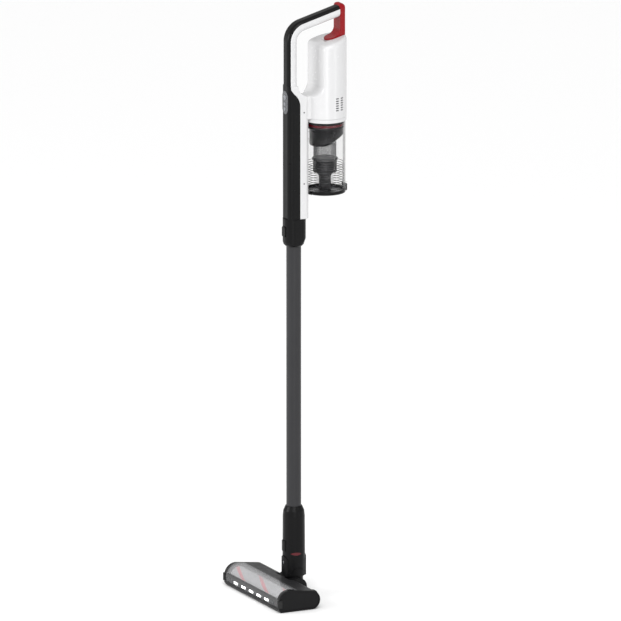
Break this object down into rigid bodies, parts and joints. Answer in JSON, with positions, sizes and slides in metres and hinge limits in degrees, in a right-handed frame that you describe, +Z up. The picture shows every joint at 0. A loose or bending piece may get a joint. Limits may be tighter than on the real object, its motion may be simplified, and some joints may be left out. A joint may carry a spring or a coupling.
{
  "type": "cordless stick vacuum",
  "caption": "Cordless stick vacuum with a motorised soft-roller floor head, a tilting and rolling neck, a straight pipe, a loop handle and a clear cyclone dust cup.",
  "frame": {"origin": "on the floor, under the middle of the vacuum's bounding box", "axes": "+Z up, -Y to the front of the floor head, +X along the head to the vacuum's left"},
  "size_m": [0.212, 0.175, 1],
  "materials": {
    "black_shell": "satin fine grain",
    "head_black": "satin",
    "head_cover": "fine textured",
    "trim_black": "gloss",
    "ridge_grey": "satin",
    "clear_window": "clear moulded",
    "clear_lens": "clear moulded",
    "clear_cup": "clear moulded",
    "board_green": "satin",
    "lamp_white": "bright",
    "bumper_rubber": "matte",
    "pad_grey": "felt",
    "steel": "turned",
    "core_alu": "satin",
    "motor_metal": "satin",
    "cell_sleeve": "wrapped",
    "plush_grey": "plush",
    "plush_red": "plush",
    "wheel_rubber": "matte",
    "pipe_grey": "anodised satin",
    "accent_red": "gloss",
    "white_shell": "gloss",
    "filter_foam": "pleated",
    "inner_plastic": "satin",
    "fan_plastic": "satin",
    "panel_grey": "satin",
    "button_grey": "satin",
    "cyclone_grey": "satin",
    "mesh_metal": "perforated"
  },
  "bodies": {
    "head": {"head_base": "head_black", "head_top_cover": "head_cover", "window_frame": "trim_black", "ridge_trim": "ridge_grey", "roller_window": "clear_window", "lamp_lens": "clear_lens", "lamp_board": "board_green", "lamps": "lamp_white", "front_bumpers": "bumper_rubber", "end_cap_left": "head_black", "end_cap_right": "head_black", "glide_pads": "pad_grey", "head_screws": "steel", "roller_motor": "motor_metal", "roller_bearing": "steel", "wheel_axles": "steel", "tilt_cheeks": "head_black"},
    "roller": {"brush_core": "core_alu", "brush_fibre": "plush_grey", "brush_stripes": "plush_red"},
    "left_wheel": {"wheel_left": "wheel_rubber"},
    "right_wheel": {"wheel_right": "wheel_rubber"},
    "neck": {"tilt_barrel": "black_shell", "neck_knuckle": "black_shell", "roll_pins": "steel"},
    "connector": {"connector_tube": "black_shell", "side_accents": "accent_red"},
    "head_release": {"head_button": "black_shell"},
    "pipe": {"wand_pipe": "pipe_grey"},
    "hand_unit": {"pipe_socket": "black_shell", "battery_cap": "black_shell", "front_shell": "black_shell", "rear_shell": "white_shell", "handle_strip": "black_shell", "handle_shell": "white_shell", "handle_bracket": "accent_red", "motor_housing": "white_shell", "housing_collar": "white_shell", "pre_filter": "filter_foam", "fan_shroud": "inner_plastic", "motor_can": "motor_metal", "exhaust_filter": "filter_foam", "battery_cells": "cell_sleeve", "battery_tray": "inner_plastic", "control_board": "board_green", "control_panel": "panel_grey", "charge_jack": "inner_plastic", "suction_duct": "inner_plastic", "body_screws": "steel"},
    "pipe_release": {"pipe_button": "black_shell"},
    "power_key": {"power_button": "button_grey"},
    "mode_key": {"mode_button": "button_grey"},
    "menu_key": {"menu_button": "button_grey"},
    "fan": {"fan_wheel": "fan_plastic"},
    "cup": {"dust_cup": "clear_cup", "cyclone_top": "cyclone_grey", "cyclone_core": "mesh_metal", "seal_ring": "accent_red"},
    "lid": {"cup_lid": "black_shell"},
    "latch": {"lid_latch": "trim_black"}
  },
  "joints": [
    {"name": "head_tilt", "type": "hinge", "parent": "head", "child": "neck", "pos_m": [0, -0.0115, 0.019], "axis": [-1, 0, 0], "range_deg": [0, 70]},
    {"name": "neck_roll", "type": "hinge", "parent": "neck", "child": "connector", "pos_m": [0, -0.0075, 0.057], "axis": [0, 1, 0], "range_deg": [-45, 45]},
    {"name": "pipe_lift", "type": "slide", "parent": "connector", "child": "pipe", "axis": [0, 0, 1], "range_m": [0, 0.024]},
    {"name": "unit_lift", "type": "slide", "parent": "pipe", "child": "hand_unit", "axis": [0, 0, 1], "range_m": [0, 0.024]},
    {"name": "roller_spin", "type": "hinge", "parent": "head", "child": "roller", "pos_m": [0, -0.0647, 0.017], "axis": [1, 0, 0], "continuous": true},
    {"name": "left_wheel_spin", "type": "hinge", "parent": "head", "child": "left_wheel", "pos_m": [0.0347, 0.0115, 0.0065], "axis": [1, 0, 0], "continuous": true},
    {"name": "right_wheel_spin", "type": "hinge", "parent": "head", "child": "right_wheel", "pos_m": [-0.0347, 0.0115, 0.0065], "axis": [1, 0, 0], "continuous": true},
    {"name": "head_release_press", "type": "slide", "parent": "connector", "child": "head_release", "axis": [0, 1, 0], "range_m": [0, 0.0018], "stiffness_N_per_m": 500},
    {"name": "pipe_release_press", "type": "slide", "parent": "hand_unit", "child": "pipe_release", "axis": [0, 1, 0], "range_m": [0, 0.0016], "stiffness_N_per_m": 500},
    {"name": "power_press", "type": "slide", "parent": "hand_unit", "child": "power_key", "axis": [0, 1, 0], "range_m": [0, 0.0008], "stiffness_N_per_m": 400},
    {"name": "mode_press", "type": "slide", "parent": "hand_unit", "child": "mode_key", "axis": [0, 1, 0], "range_m": [0, 0.0008], "stiffness_N_per_m": 400},
    {"name": "menu_press", "type": "slide", "parent": "hand_unit", "child": "menu_key", "axis": [0, 1, 0], "range_m": [0, 0.0008], "stiffness_N_per_m": 400},
    {"name": "fan_spin", "type": "hinge", "parent": "hand_unit", "child": "fan", "pos_m": [0, 0.0499, 0.83], "axis": [0, 0, 1], "continuous": true},
    {"name": "cup_drop", "type": "slide", "parent": "hand_unit", "child": "cup", "axis": [0, 0, -1], "range_m": [0, 0.03]},
    {"name": "lid_open", "type": "hinge", "parent": "cup", "child": "lid", "pos_m": [0, 0.0179, 0.6835], "axis": [-1, 0, 0], "range_deg": [0, 90]},
    {"name": "latch_slide", "type": "slide", "parent": "cup", "child": "latch", "axis": [0, 0, -1], "range_m": [0, 0.003], "stiffness_N_per_m": 300}
  ]
}
